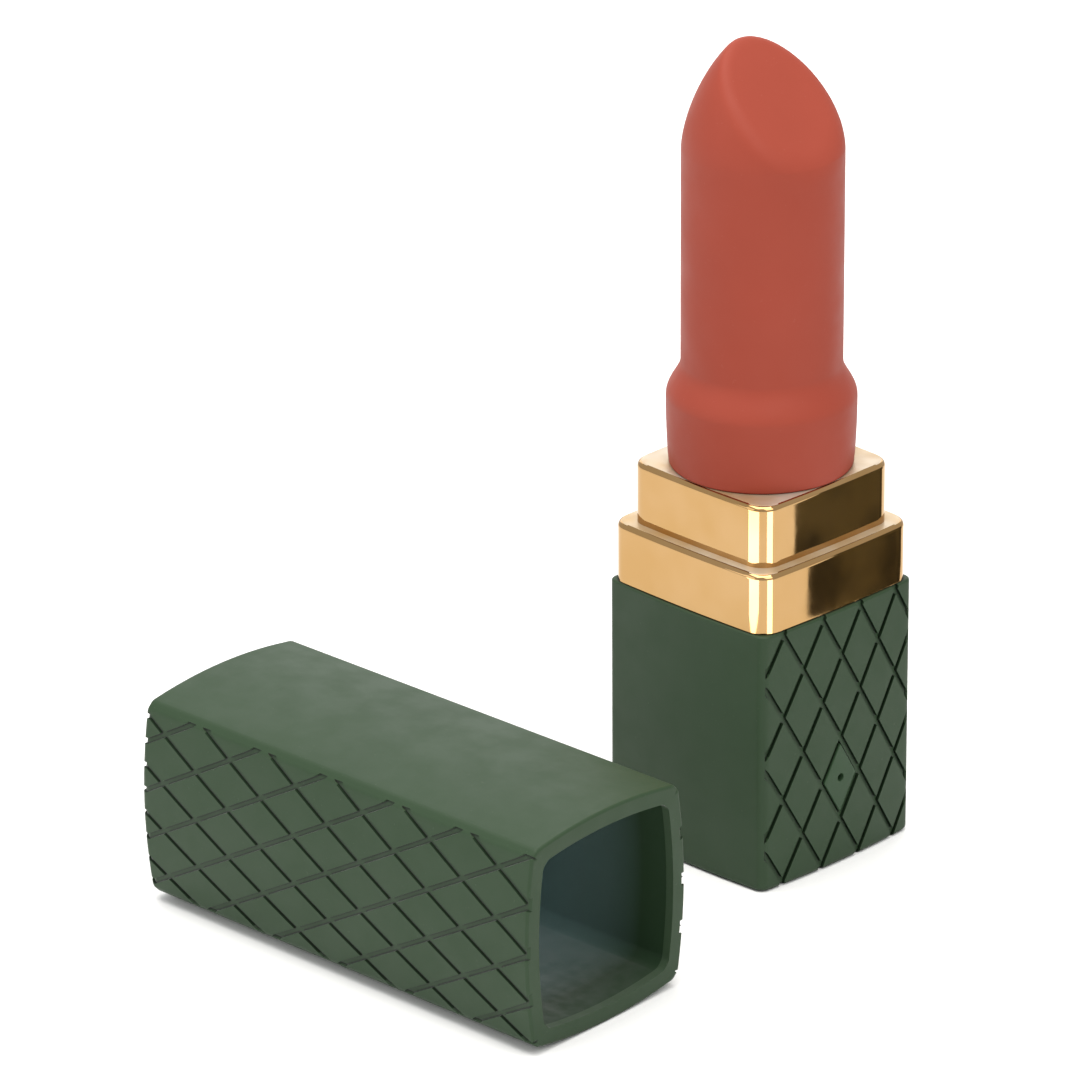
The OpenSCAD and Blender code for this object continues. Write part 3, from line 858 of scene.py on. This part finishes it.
def tipOutline():
    # (height over the collar, radius) from the foot to just under the pole
    s = tipSpec
    points = [(s["foot"] - s["foot"] * math.cos(t), s["skirt"] - s["foot"] * (1 - math.sin(t)))
              for t in [math.pi / 8 * k for k in range(1, 5)]]
    for k in range(1, 9):
        height = s["foot"] + (s["skirtHeight"] - s["foot"]) * k / 8
        points.append((height, s["skirt"] + s["swell"] * math.sin(math.pi / 2 * k / 8) ** 0.7))
    for k in range(1, 17):
        t = k / 16
        drop = (s["skirt"] + s["swell"] - s["radius"]) * (1 + math.cos(math.pi * t)) / 2
        points.append((s["skirtHeight"] + s["shoulder"] * t, s["radius"] + drop))
    start = s["skirtHeight"] + s["shoulder"]
    for k in range(1, 31):
        points.append((start + (s["straight"] - start) * k / 30, s["radius"]))
    for k in range(1, 48):
        t = math.pi / 2 * k / 48
        points.append((s["straight"] + s["dome"] * math.sin(t) ** s["point"],
                       s["radius"] * math.cos(t) ** s["point"]))
    return points


def pressSlant(piece, foot):
    # flattens the rounded end onto the slanted plane, with a soft rim
    s = tipSpec
    centre = Vector((0, 0, foot + s["straight"] - s["pressFrom"]))
    turn = math.radians(s["slantAngle"])
    across = Vector((math.sin(turn), 0, math.cos(turn)))
    onPlane = Vector((s["radius"], 0, foot + s["straight"] + s["slantLift"]))
    depth = across.dot(onPlane - centre)
    for vertex in piece.data.vertices:
        inCore = (math.hypot(vertex.co.x, vertex.co.y) < s["coreRadius"]
                  and vertex.co.z < foot + s["coreTop"] + 0.1 * mm)
        if inCore or vertex.co.z < centre.z - 3 * mm:
            continue
        ray = vertex.co - centre
        far = ray.length
        ray.normalize()
        lean = across.dot(ray)
        if lean < 0.05:
            continue
        plane = depth / lean
        blend = max(s["slantSoft"] - abs(far - plane), 0) / s["slantSoft"]
        vertex.co = centre + ray * (min(far, plane) - blend ** 2 * s["slantSoft"] / 4)
    piece.data.update()


def buildTip():
    s = tipSpec
    foot = tipLow[2]
    deselectAll()
    start = s["skirt"] - s["foot"]
    bpy.ops.mesh.primitive_circle_add(vertices=s["around"], radius=start, location=(0, 0, foot))
    tip = bpy.context.active_object
    tip.name = "softTip"
    bpy.ops.object.transform_apply(location=True, rotation=True, scale=True)
    startEdit(tip, "EDGE")
    bpy.ops.mesh.select_all(action="SELECT")
    height, radius = 0, start
    for newHeight, newRadius in tipOutline():
        growLoop(newRadius / radius, newHeight - height, foot + height)
        height, radius = newHeight, newRadius
    bpy.ops.mesh.edge_face_add()
    bpy.ops.mesh.poke()
    # the cavity for the core
    openLoop(foot)
    growLoop(s["coreRadius"] / start, 0, foot)
    growLoop(1, s["coreTop"], foot)
    bpy.ops.mesh.edge_face_add()
    endEdit()
    closeUp(tip)
    pressSlant(tip, foot)
    smooth(tip, 50)
    dress(tip, "terracotta")
    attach(tip, "case")
    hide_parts("tip_sleeve")
    return tip


softTip = buildTip()
print("tip:", len(softTip.data.polygons), "faces")


# pull-off cap, lying beside the case

capSpec = {
    "length": 69.058 * mm,
    "half": 13.7 * mm,
    "bow": 1.3 * mm,            # the cap's faces bulge more than the case's
    "patternShift": 0.5 * mm,   # keeps a crossing of grooves off the mouth's corners
    "innerCorner": 0.6 * mm,
    "mouthCorner": 1.2 * mm,
    "place": (-8.5 * mm, -56.7 * mm, 15 * mm),
    "turn": 2.9,
    "wall": 0.9 * mm,
    "endRound": 1.1 * mm,
    "rim": 0.4 * mm,
    "lip": 1.2 * mm,            # the sleeve turns in over the liner's end
    "linerWall": 1.0 * mm,
    "linerRound": 1.0 * mm,     # at the bottom of the liner
    "linerGap": 0.05 * mm,      # between liner and sleeve
    "innerHalf": 11.7 * mm,
    "innerBow": 1.0 * mm,
}
capPlace = (Matrix.Translation(capSpec["place"])
            @ Matrix.Rotation(math.radians(capSpec["turn"]), 4, "Z")
            @ Matrix.Rotation(math.radians(-90), 4, "Y")
            @ Matrix.Translation((0, 0, -capSpec["length"] / 2)))
capTurned = capPlace @ Matrix.Rotation(math.radians(90), 4, "Z")


def buildCapSleeve():
    half, end = capSpec["half"], capSpec["length"]
    radius, rim = capSpec["endRound"], capSpec["rim"]
    shell = quiltedShell("capSleeve", half, capSpec["bow"], rim, end - radius,
                         quilt["diamondHeight"] / 2 - capSpec["patternShift"])
    startEdit(shell)
    openLoop(end - radius)
    roundIn(half, radius, end - radius, 1, 6)
    bpy.ops.mesh.edge_face_add()
    openLoop(rim)
    roundIn(half, rim, rim, -1)
    endEdit()
    inner = lining(half - capSpec["wall"], capSpec["innerCorner"], capSpec["lip"],
                   end - capSpec["wall"], capSpec["bow"], end - capSpec["wall"])
    mouth = lining(capSpec["innerHalf"], capSpec["mouthCorner"], 0, capSpec["lip"],
                   capSpec["innerBow"])
    joinInto(shell, inner, mouth)
    fillRing(shell, 0)
    fillRing(shell, capSpec["lip"])
    closeUp(shell)
    moveMesh(shell, capTurned)
    smooth(shell)
    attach(shell, "cap")
    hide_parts("cap_sleeve")
    return shell


def buildCapLiner():
    s = capSpec
    outer = s["half"] - s["wall"] - s["linerGap"]
    end = s["length"] - s["wall"] - s["linerGap"]
    start = s["lip"] + s["linerGap"]
    liner = block(outer, 0.7 * mm, start, end, s["bow"] * 0.98, (start,))
    inner = lining(s["innerHalf"] + 0.1 * mm, 1.3 * mm, start, end - s["linerWall"], s["innerBow"],
                   end - s["linerWall"])
    liner.name = "capLiner"
    joinInto(liner, inner)
    fillRing(liner, start)
    startEdit(liner)
    pickEdges(liner, lambda a, b: level(end - s["linerWall"])(a, b)
              and min(max(abs(v.x), abs(v.y)) for v in (a, b)) > 11.0 * mm)
    bpy.ops.mesh.bevel(offset=s["linerRound"], segments=4, affect="EDGES", clamp_overlap=True)
    endEdit()
    moveMesh(liner, capTurned)
    smooth(liner)
    dress(liner, "linerPlastic")
    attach(liner, "cap")
    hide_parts("cap_liner")
    return liner


capSleeve = buildCapSleeve()
print("cap sleeve:", len(capSleeve.data.polygons), "faces")
capLiner = buildCapLiner()
print("cap liner:", len(capLiner.data.polygons), "faces")
for piece in (capSleeve, capLiner):
    piece.visible_glossy = False      # keeps the collar's left side clean

dress(nodes["base_cover"], "coverPlastic")
dress(nodes["button_key"], "keyPlastic")


# camera, floor and lights

cameraSpec = {"place": (0.61083, -0.63825, 0.42019), "azimuth": 0.7966, "elevation": 0.4041,
              "roll": -0.0067, "lens": 241.3}


def addCamera():
    data = bpy.data.cameras.new("camera")
    data.lens, data.sensor_width = cameraSpec["lens"], 36
    data.clip_start, data.clip_end = 0.02, 20
    camera = bpy.data.objects.new("camera", data)
    bpy.context.scene.collection.objects.link(camera)
    camera.matrix_world = (Matrix.Translation(cameraSpec["place"])
                           @ Matrix.Rotation(cameraSpec["azimuth"], 4, "Z")
                           @ Matrix.Rotation(math.pi / 2 - cameraSpec["elevation"], 4, "X")
                           @ Matrix.Rotation(cameraSpec["roll"], 4, "Z"))
    bpy.context.scene.camera = camera


lightSpec = {
    # name: (place, aim, width, height, watts, tint)
    "keyLight": ((0.62, -0.15, 0.80), (0, 0, 0.05), 0.55, 0.55, 2.9, (1, 0.98, 0.94)),
    "topLight": ((-0.05, -0.10, 1.05), (0, 0, 0), 0.9, 0.9, 11.3, (1, 0.985, 0.95)),
    "leftFill": ((-0.30, -0.85, 0.42), (0, 0, 0.05), 0.6, 0.6, 1.45, (1, 1, 1)),
    "backPanel": ((-0.62, 0.62, 0.40), (0, 0, 0.05), 0.9, 0.5, 1.9, (1, 1, 1)),
}
stripSpec = {
    # narrow lights that only the collar catches
    "leftStrip": ((0.0098, -0.0930, 0.022), (0.014, -0.014, 0.022),
                  0.092, 0.044, 0.061, (1, 1, 1)),
    "rightStrip": ((0.0884, -0.0304, 0.022), (0.014, -0.014, 0.022),
                   0.044, 0.044, 0.030, (1, 1, 1)),
}


def addLight(name, spec):
    origin, aim, width, height, watts, tint = spec
    data = bpy.data.lights.new(name, "AREA")
    data.shape, data.size, data.size_y, data.energy = "RECTANGLE", width, height, watts
    data.color = tint
    light = bpy.data.objects.new(name, data)
    bpy.context.scene.collection.objects.link(light)
    heading = (Vector(aim) - Vector(origin)).to_track_quat("-Z", "Y")
    light.matrix_world = Matrix.Translation(origin) @ heading.to_matrix().to_4x4()
    light.visible_camera = False
    return light


stageSpec = {"floorSize": 8, "floorDeep": (0.90, 0.90, 0.90), "floorPale": (0.92, 0.92, 0.92),
             "worldStrength": 0.75}


def addFloor():
    deselectAll()
    bpy.ops.mesh.primitive_plane_add(size=stageSpec["floorSize"], location=(0, 0, 0))
    floor = bpy.context.active_object
    floor.name = "floor"
    material, tree, shader, spot = newMaterial("floorPaint")
    tone = addMix(tree, addRange(tree, addNoise(tree, spot, 0.2, 2), 0, 1),
                  stageSpec["floorDeep"], stageSpec["floorPale"])
    tree.links.new(tone, shader.inputs["Base Color"])
    shader.inputs["Roughness"].default_value = 0.85
    shader.inputs["Specular IOR Level"].default_value = 0.1
    floor.data.materials.append(material)


def addWorld(strength):
    world = bpy.data.worlds.new("studio")
    world.use_nodes = True
    background = world.node_tree.nodes["Background"]
    background.inputs["Color"].default_value = (1, 1, 1, 1)
    background.inputs["Strength"].default_value = strength
    bpy.context.scene.world = world


def addCard(name, corners, shade):
    # a card beside the set that only the shiny pieces reflect
    deselectAll()
    bpy.ops.mesh.primitive_plane_add(size=1, location=(0, 0, 0))
    card = bpy.context.active_object
    card.name = name
    for vertex, corner in zip(card.data.vertices, corners):
        vertex.co = corner
    card.data.update()
    material, tree, shader, spot = newMaterial(name + "Paper")
    tone = addMix(tree, addRange(tree, addNoise(tree, spot, 0.02, 3), 0, 1, 0.42, 0.58), shade,
                  tuple(3.2 * v for v in shade))
    tree.links.new(tone, shader.inputs["Base Color"])
    shader.inputs["Roughness"].default_value = 0.9
    card.data.materials.append(material)
    card.visible_camera = False
    card.visible_diffuse = False
    card.visible_shadow = False
    card.visible_transmission = False


addCamera()
addFloor()
addWorld(stageSpec["worldStrength"])
for name, spec in lightSpec.items():
    addLight(name, spec)
shiny = bpy.data.collections.new("shinyPieces")
shiny.objects.link(collar)
for name, spec in stripSpec.items():
    addLight(name, spec).light_linking.receiver_collection = shiny


def around(turn, reach, height):
    turn = math.radians(turn)
    return Vector((reach * math.cos(turn), reach * math.sin(turn), height))


cardSpec = {"fromTurn": 35, "fromReach": 0.092, "toTurn": 66, "toReach": 0.108, "height": 0.06,
            "shade": (0.030, 0.028, 0.016)}
cardCorners = [around(cardSpec[end + "Turn"], cardSpec[end + "Reach"], height)
               for height in (0, cardSpec["height"]) for end in ("from", "to")]
addCard("darkCard", cardCorners, cardSpec["shade"])
bpy.context.scene.view_settings.view_transform = "Standard"
print("stage set")
